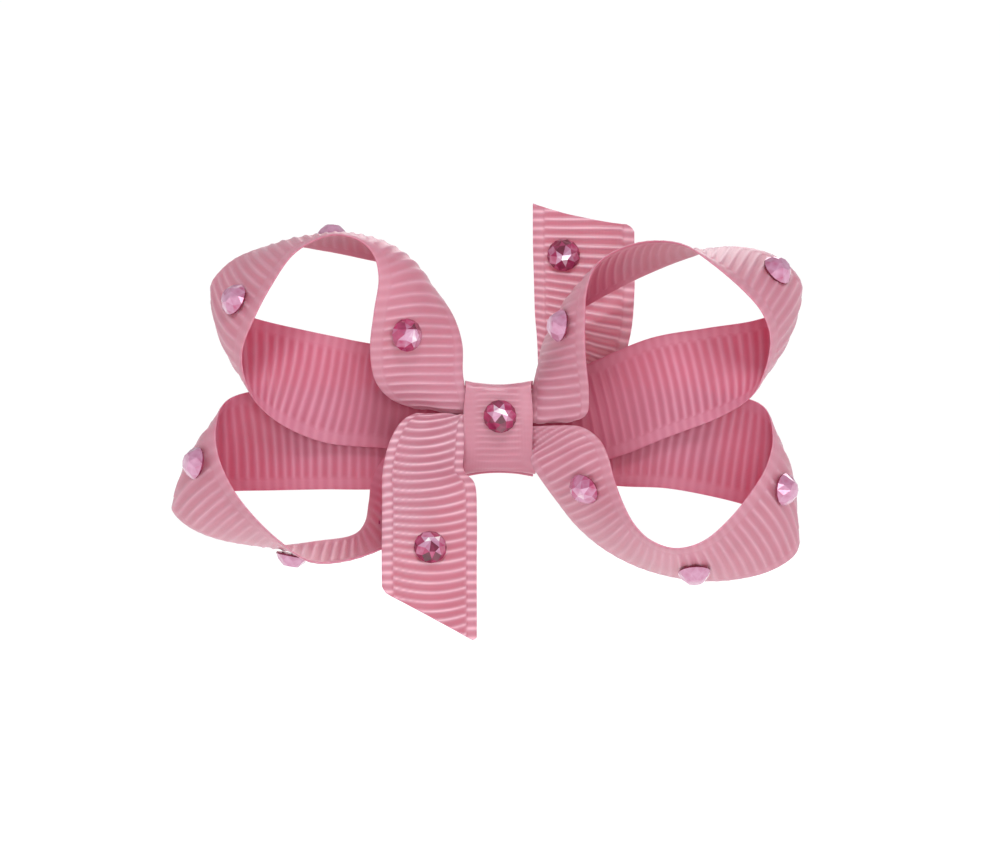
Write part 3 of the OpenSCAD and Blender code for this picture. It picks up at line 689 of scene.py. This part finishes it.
def lump(name, low, high, seed, slot, node, power=4, pleats=0, waist=0.0):
    """Rounded body that fills a box: a squarish section along X, uneven, pleated or waisted."""
    center, size = (low + high) / 2, (high - low) / 2
    steps, sides = 24, 72
    rings = []
    for k in range(steps + 1):
        t = -1 + 2 * k / steps
        shrink = (1 - abs(t) ** 8) ** 0.5 * (1 - waist * math.exp(-(t / 0.45) ** 4))
        shrink = max(shrink, 0.02)
        ring = []
        for j in range(sides):
            a = 2 * math.pi * j / sides
            c, s = math.cos(a), math.sin(a)
            r = (abs(c) ** power + abs(s) ** power) ** (-1 / power)
            if pleats:
                r *= 0.95 + 0.05 * math.cos(pleats * a + 0.6 * math.sin(2 * t))
            r *= 0.98 + 0.02 * uneven(3 * t, 2 * c + s, seed)
            ring.append((center.x + size.x * t, center.y + size.y * r * c * shrink,
                         center.z + size.z * r * s * shrink))
        rings.append(ring)
    # Painted shade between the pleats and a painted highlight on their ridges, as the rib tone
    tone = [0.5 + 0.4 * math.cos(pleats * 2 * math.pi * j / sides) for j in range(sides)]
    obj = loft(name, np.array(rings), "bow", layers={"rib": tone * (steps + 1)})
    obj.data.materials.append(MATERIALS[slot])
    smooth(obj)
    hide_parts(node)


def binding_thread():
    """Plied thread wound round the gathered middle."""
    low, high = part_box("binding_thread")
    center, size = (low + high) / 2, (high - low) / 2
    turns, steps, radius = 4, 48, 0.15 * MM
    path = []
    for i in range(turns * steps + 1):
        a = 2 * math.pi * i / steps
        c, s = math.cos(a), math.sin(a)
        k = (abs(c) ** 8 + abs(s) ** 8) ** (-1 / 8)
        path.append((low.x + radius + (2 * size.x - 2 * radius) * i / (turns * steps),
                     center.y + (size.y - radius) * k * c,
                     center.z + (size.z - radius) * k * s))
    obj = tube("winding_thread", path, radius, "bow", sides=10, lobes=0.18)
    obj.data.materials.append(MATERIALS["thread"])
    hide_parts("binding_thread")


# ---------------------------------------------------------------- clip

def clip_lining():
    """Fine-ribbed ribbon glued along the fixed arm, its end rounded at the clip's tip."""
    low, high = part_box("clip_lining")
    x0, x1 = low.x / MM, high.x / MM
    y, width = (low.y + high.y) / 2 / MM, high.z / MM
    x = np.linspace(x0, x1, int((x1 - x0) / WRAP_RIB_PITCH * RIB_ROWS))
    nose = np.clip((x - x0) / 2.8, 0, 1)
    half = np.zeros((len(x), 3))
    half[:, 2] = width * (0.25 + 0.75 * np.sqrt(1 - (1 - nose) ** 2))
    middle = np.stack([x, np.full(len(x), y), np.zeros(len(x))], 1)
    out = np.tile((0.0, 1.0, 0.0), (len(x), 1))
    obj = narrow_ribbon("lining_strip", middle, out, half, x - x0, "lining_ribbon", 8)
    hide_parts("clip_lining")


def rivet():
    """Hinge pin with a domed head at each end."""
    low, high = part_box("hinge_pin")
    center = (low + high) / 2
    head, reach = (high.x - low.x) / 2, (high.z - low.z) / 2
    shaft, inner, rim = 0.75 * MM, reach - 0.3 * MM, 0.04 * MM
    half = [(shaft, 0), (shaft, inner), (head * 0.97, inner), (head, inner + rim)]
    half += [(head * math.cos(a), inner + rim + (reach - inner - rim) * math.sin(a))
             for a in np.linspace(0.2, 1.5, 7)]
    profile = [(r, -z) for r, z in half[:0:-1]] + half
    rings = [[(center.x + r * math.cos(a), center.y + r * math.sin(a), z)
              for a in np.linspace(0, 2 * math.pi, 48, endpoint=False)] for r, z in profile]
    obj = loft("hinge_rivet", np.array(rings), "bow")
    obj.data.materials.append(MATERIALS["pin_steel"])
    smooth(obj, 40)
    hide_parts("hinge_pin")


def spring():
    """Torsion spring coiled about the pin, with a leg for the fixed arm and one for the jaw."""
    low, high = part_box("hinge_pin")
    x, y = (low.x + high.x) / 2, (low.y + high.y) / 2
    wire, coil_r, reach, turns = 0.25 * MM, 1.05 * MM, 1.1 * MM, 3.5
    leg_x = x + 7 * MM
    base_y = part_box("torsion_spring")[0].y + wire
    # The fixed arm's leg, the coil round the pin, then the jaw's leg
    path = [(leg_x, base_y + 0.1 * MM, reach), (leg_x - 0.2 * MM, base_y, reach),
            (x + 4.6 * MM, y - coil_r - 0.02 * MM, reach),
            (x + 2.5 * MM, y - coil_r - 0.1 * MM, reach)]
    steps = 168
    for i in range(steps + 1):
        a = math.radians(-90 - 360 * turns * i / steps)
        path.append((x + coil_r * math.cos(a), y + coil_r * math.sin(a),
                     reach - 2 * reach * i / steps))
    path += [(x + 1.5 * MM, y + coil_r + 0.08 * MM, -reach), (x + 7 * MM, 3.9 * MM, -reach)]
    obj = tube("twist_spring", path, wire, "bow")
    # It comes off the body it was made on, keeping no body of its own
    obj.parent = None
    del obj["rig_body"]
    obj.data.materials.append(MATERIALS["spring_steel"])
    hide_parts("torsion_spring")
    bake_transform(obj)


def soften_edges(node, width):
    """Rounds the cut edges of a sheet-steel CAD node."""
    obj = frame["nodes"][node]
    weld = obj.modifiers.new("weld", "WELD")
    weld.merge_threshold = 1e-6
    bevel = obj.modifiers.new("edge", "BEVEL")
    bevel.width = width
    bevel.segments = 2
    bevel.angle_limit = math.radians(35)
    bevel.harden_normals = True
    obj.data.materials.clear()
    obj.data.materials.append(MATERIALS["clip_steel"])


# ---------------------------------------------------------------- materials

def srgb(*rgb):
    """Linear colour from everyday 0-255 values."""
    return tuple((c / 255 / 12.92 if c <= 10 else ((c / 255 + 0.055) / 1.055) ** 2.4)
                 for c in rgb) + (1.0,)


class Nodes:
    """A new material's node tree, with short ways to add and link nodes."""

    def __init__(self, name):
        self.material = bpy.data.materials.new(name)
        self.material.use_nodes = True
        self.tree = self.material.node_tree
        self.shader = self.tree.nodes["Principled BSDF"]

    def set(self, **values):
        """Sets the shader's own sockets."""
        for key, value in values.items():
            self.shader.inputs[key.replace("_", " ")].default_value = value

    def add(self, kind, inputs=None, **settings):
        """A new node, its inputs given as values or as other nodes' sockets."""
        node = self.tree.nodes.new("ShaderNode" + kind)
        for key, value in settings.items():
            setattr(node, key, value)
        for key, value in (inputs or {}).items():
            if isinstance(value, bpy.types.NodeSocket):
                self.tree.links.new(value, node.inputs[key])
            else:
                node.inputs[key].default_value = value
        return node

    def ramp(self, factor, *stops):
        """Colour ramp through stops of (position, colour)."""
        node = self.add("ValToRGB", {"Fac": factor})
        while len(node.color_ramp.elements) < len(stops):
            node.color_ramp.elements.new(0.5)
        for element, (position, color) in zip(node.color_ramp.elements, stops):
            element.position = position
            element.color = color
        return node.outputs["Color"]

    def link(self, output, name):
        """Links a node's output to one of the shader's sockets."""
        self.tree.links.new(output, self.shader.inputs[name])


def ribbon_material(name, front, back):
    """Satin grosgrain. front and back are each face's colours: between ribs, on them, on top,
    painting shade in the valleys and a highlight on the tops; back is darker, painted shade on
    the inner face.
    """
    n = Nodes(name)
    rib = n.add("Attribute", attribute_name="rib", attribute_type="GEOMETRY").outputs["Fac"]
    face = n.add("Attribute", attribute_name="face", attribute_type="GEOMETRY").outputs["Fac"]
    where = n.add("TexCoord").outputs
    # Painted shade and highlight: rib tone through each face's colours, the inner face's darker
    ramps = [n.ramp(rib, (0.0, c[0]), (0.55, c[1]), (1.0, c[2])) for c in (back, front)]
    shade = n.add("MixRGB", {"Fac": face, "Color1": ramps[0], "Color2": ramps[1]})
    blotch = n.add("TexNoise", {"Vector": where["Object"], "Scale": 260.0, "Detail": 3.0})
    tint = n.ramp(blotch.outputs["Fac"], (0.3, (0.92, 0.9, 0.9, 1)), (0.7, (1, 1, 1, 1)))
    color = n.add("MixRGB", {"Fac": 1.0, "Color1": shade.outputs["Color"], "Color2": tint},
                  blend_type="MULTIPLY")
    n.link(color.outputs["Color"], "Base Color")
    warp = n.add("TexWave", {"Vector": where["UV"], "Scale": 22.0, "Distortion": 0.6,
                             "Detail": 1.0}, bands_direction="Y")
    fuzz = n.add("TexNoise", {"Vector": where["Object"], "Scale": 5200.0, "Detail": 2.0})
    threads = n.add("Bump", {"Height": warp.outputs["Fac"], "Strength": 0.25,
                             "Distance": 0.00003})
    bump = n.add("Bump", {"Height": fuzz.outputs["Fac"], "Strength": 0.25, "Distance": 0.00002,
                          "Normal": threads.outputs["Normal"]})
    n.link(bump.outputs["Normal"], "Normal")
    # Painted glow: a deep pink emission, stronger on the inner face, stands in for light shining
    # through the ribbon into its shaded folds
    for socket, inside, outside in (("Coat Weight", 0.05, 0.3), ("Emission Strength", 0.16, 0.07)):
        amount = n.add("Math", {0: face, 1: outside - inside, 2: inside},
                       operation="MULTIPLY_ADD")
        n.link(amount.outputs["Value"], socket)
    n.set(Roughness=0.45, Specular_IOR_Level=0.3, Sheen_Weight=0.08, Sheen_Roughness=0.5,
          Sheen_Tint=srgb(255, 220, 232), Coat_Roughness=0.25, Subsurface_Weight=0.5,
          Subsurface_Radius=(1.0, 0.35, 0.45), Subsurface_Scale=0.7 * MM,
          Emission_Color=srgb(160, 20, 60))
    return n.material


def crystal_material():
    """Rose glass over foil, its facet tones painted reflections, with small painted glints inside
    each facet.
    """
    n = Nodes("rose_crystal")
    tone = n.add("Attribute", attribute_name="tone", attribute_type="GEOMETRY").outputs["Fac"]
    where = n.add("TexCoord").outputs["Object"]
    glints = n.add("TexVoronoi", {"Vector": where, "Scale": 1500.0})
    glint = n.add("Math", {0: glints.outputs["Distance"], 1: 0.2, 2: -0.07},
                  operation="MULTIPLY_ADD")
    mixed = n.add("Math", {0: tone, 1: glint.outputs["Value"]}, operation="ADD")
    # Painted reflections: dark mauve to pale lilac facets, and a painted white glint at the top
    color = n.ramp(mixed.outputs["Value"], (0.0, srgb(80, 28, 44)), (0.2, srgb(124, 28, 66)),
                   (0.42, srgb(180, 58, 106)), (0.6, srgb(194, 128, 161)),
                   (0.82, srgb(213, 161, 190)), (1.0, srgb(255, 250, 253)))
    n.link(color, "Base Color")
    haze = n.add("TexNoise", {"Vector": where, "Scale": 900.0, "Detail": 1.0})
    rough = n.ramp(haze.outputs["Fac"], (0.3, (0.04, 0.04, 0.04, 1)), (0.7, (0.1, 0.1, 0.1, 1)))
    n.link(rough, "Roughness")
    n.set(Metallic=0.3, Specular_IOR_Level=0.8, Coat_Weight=0.6, Coat_Roughness=0.04)
    return n.material


def steel_material(name, tone, roughness):
    """Brushed plated steel of a 0-255 tone, between two values of roughness."""
    n = Nodes(name)
    where = n.add("TexCoord").outputs["Object"]
    stretch = n.add("Mapping", {"Vector": where, "Scale": (1.0, 14.0, 14.0)})
    grain = n.add("TexNoise", {"Vector": stretch.outputs["Vector"], "Scale": 420.0,
                               "Detail": 4.0})
    color = n.ramp(grain.outputs["Fac"], (0.3, srgb(*(c - 22 for c in tone))), (0.7, srgb(*tone)))
    n.link(color, "Base Color")
    low, high = roughness
    rough = n.ramp(grain.outputs["Fac"], (0.3, (low, low, low, 1)), (0.7, (high, high, high, 1)))
    n.link(rough, "Roughness")
    bump = n.add("Bump", {"Height": grain.outputs["Fac"], "Strength": 0.2,
                          "Distance": 0.00002})
    n.link(bump.outputs["Normal"], "Normal")
    n.set(Metallic=1.0)
    return n.material


def soft_material(name, dark, light, scale, roughness):
    """Mottled surface for thread and glue."""
    n = Nodes(name)
    where = n.add("TexCoord").outputs["Object"]
    mottle = n.add("TexNoise", {"Vector": where, "Scale": scale, "Detail": 3.0})
    n.link(n.ramp(mottle.outputs["Fac"], (0.3, dark), (0.7, light)), "Base Color")
    bump = n.add("Bump", {"Height": mottle.outputs["Fac"], "Strength": 0.3,
                          "Distance": 0.00003})
    n.link(bump.outputs["Normal"], "Normal")
    n.set(Roughness=roughness, Sheen_Weight=0.2)
    return n.material


# Ribbon colours: between the ribs, on them, on top, with painted shade in the valleys and a
# painted highlight on top. The second set is darker, for painted shade on the inner faces, and
# the third is the paler wrap ribbon.
ROSE = (srgb(174, 106, 124), srgb(195, 142, 158), srgb(232, 194, 205))
SHADED_ROSE = (srgb(158, 74, 96), srgb(184, 112, 134), srgb(200, 138, 158))
PALE_ROSE = (srgb(182, 118, 135), srgb(197, 138, 154), srgb(212, 160, 174))

MATERIALS = {
    "ribbon": ribbon_material("rose_grosgrain", ROSE, SHADED_ROSE),
    "wrap_ribbon": ribbon_material("pale_grosgrain", PALE_ROSE, SHADED_ROSE),
    "lining_ribbon": ribbon_material("lining_grosgrain", PALE_ROSE, SHADED_ROSE),
    "crystal": crystal_material(),
    "thread": soft_material("rose_thread", srgb(168, 80, 105), srgb(205, 120, 145), 3000.0, 0.6),
    "glue": soft_material("clear_glue", srgb(214, 205, 190), srgb(236, 230, 218), 700.0, 0.25),
    "clip_steel": steel_material("clip_nickel", (206, 204, 200), (0.2, 0.36)),
    "pin_steel": steel_material("pin_nickel", (198, 196, 192), (0.22, 0.34)),
    "spring_steel": steel_material("spring_nickel", (188, 186, 184), (0.18, 0.3)),
}


# ---------------------------------------------------------------- the object

# Each loop's route, the side of it that faces out, how its ribs bow and how long its tuck is
LOOPS = {
    "upper_left": (UPPER_LEFT_ROUTE, -1, 0.3, 0),
    "lower_left": (LOWER_LEFT_ROUTE, 1, 0.2, 0),
    "upper_right": (UPPER_RIGHT_ROUTE, 1, -0.2, 0),
    "lower_right": (LOWER_RIGHT_ROUTE, -1, 0.25, 11),
}
for number, (side, (rows, face, bow, tuck)) in enumerate(LOOPS.items()):
    route = Route(rows, face)
    strip = ribbon(side + "_loop", route, number + 1, bow, tuck)
    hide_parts("loop_" + side)
    for k, spot in enumerate(CRYSTALS[side]):
        ribbon_crystal(route, spot, 10 * number + k, f"crystal_{side}_{k + 1}")

# The same for the tails, with the cut of each end
TAILS = {
    "lower": (LOWER_TAIL_ROUTE, -1, -0.9, -10, lower_cut),
    "upper": (UPPER_TAIL_ROUTE, 1, 0.1, 0, upper_cut),
}
for number, (side, (rows, face, bow, tuck, cut)) in enumerate(TAILS.items()):
    route = Route(rows, face)
    strip = ribbon(side + "_tail", route, number + 6, bow, tuck, cut)
    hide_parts("tail_" + side)
    reach = max(cut_runs(route, np.array([-1.0, 0.0, 1.0]), cut))
    ribbon_crystal(route, TAIL_CRYSTALS[side], 50 + number, f"crystal_{side}_tail")

center_wrap()
low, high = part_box("crystal_center")
seat = Vector(((low.x + high.x) / 2, high.y + 0.02 * MM, (low.z + high.z) / 2))
crystal("stone_center", seat, (0, -1, 0), 61, "crystal_center")

low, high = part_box("gathered_middle")
# A little larger than the CAD solid, to close the gaps at the wrap's sides
swell = Vector((0.45, 0.3, 0)) * MM
lump("pleated_middle", low - swell, high + swell, 4, "ribbon", "gathered_middle",
     pleats=14, waist=0.2)
binding_thread()
lump("bow_glue", *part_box("glue_bow"), 5, "glue", "glue_bow")
lump("wrap_glue", *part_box("glue_wrap_end"), 6, "glue", "glue_wrap_end")

clip_lining()
rivet()
spring()
for node in ("clip_base", "clip_jaw"):
    soften_edges(node, 0.08 * MM)


# ---------------------------------------------------------------- floor, light and camera

def pale_floor(height):
    """Flat pale floor that glows softly, so that it stays even all over."""
    bpy.ops.mesh.primitive_plane_add(size=1.4, location=(0, 0, height))
    floor = bpy.context.object
    floor.name = "floor"
    paper = Nodes("pale_floor")
    paper.set(Base_Color=(0.4, 0.4, 0.4, 1), Roughness=0.9, Emission_Color=(1, 1, 1, 1),
              Emission_Strength=0.78)
    floor.data.materials.append(paper.material)
    floor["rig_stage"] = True


def studio_world():
    """Even surroundings, white at the horizon and dimmer above."""
    world = bpy.data.worlds.new("studio")
    bpy.context.scene.world = world
    world.use_nodes = True
    sky = world.node_tree
    coordinates = sky.nodes.new("ShaderNodeTexCoord")
    split = sky.nodes.new("ShaderNodeSeparateXYZ")
    heights = sky.nodes.new("ShaderNodeValToRGB")
    background = sky.nodes["Background"]
    sky.links.new(coordinates.outputs["Generated"], split.inputs["Vector"])
    sky.links.new(split.outputs["Z"], heights.inputs["Fac"])
    sky.links.new(heights.outputs["Color"], background.inputs["Color"])
    horizon, above = heights.color_ramp.elements
    horizon.position, horizon.color = 0.12, (1, 1, 1, 1)
    above.position, above.color = 0.4, (0.4, 0.4, 0.41, 1)
    background.inputs["Strength"].default_value = 1.02


def area_light(name, location, size, power):
    """Round soft light that looks at the bow."""
    light = bpy.data.lights.new(name, "AREA")
    light.shape = "DISK"
    light.size = size
    light.energy = power
    obj = bpy.data.objects.new(name, light)
    obj.location = location
    obj.rotation_euler = (-Vector(location)).to_track_quat("-Z", "Y").to_euler()
    bpy.context.scene.collection.objects.link(obj)


def front_camera(frame_w, aim):
    """Long-lens camera square to the front of the bow."""
    camera = bpy.data.cameras.new("camera")
    camera.lens = 300
    camera.sensor_width = 36
    camera.clip_start, camera.clip_end = 0.05, 20
    distance = frame_w * camera.lens / camera.sensor_width
    obj = bpy.data.objects.new("camera", camera)
    obj.location = (aim[0], aim[1] - distance, aim[2])
    obj.rotation_euler = (math.radians(90), 0, 0)
    bpy.context.scene.collection.objects.link(obj)
    bpy.context.scene.camera = obj


# Width of the frame at the point the camera aims at, and that point, in metres
FRAME_W = 0.0997
AIM = (-0.0001, -0.006, -0.00025)

low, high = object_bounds()
pale_floor(low.z)
studio_world()
area_light("key", (0.03, -0.42, 0.52), 0.16, 1.75)
area_light("fill", (0.1, -0.6, 0.05), 0.3, 0.85)
area_light("back", (0.1, 0.5, 0.35), 0.4, 0.9)
front_camera(FRAME_W, AIM)
bpy.context.scene.view_settings.view_transform = "Standard"

low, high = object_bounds()
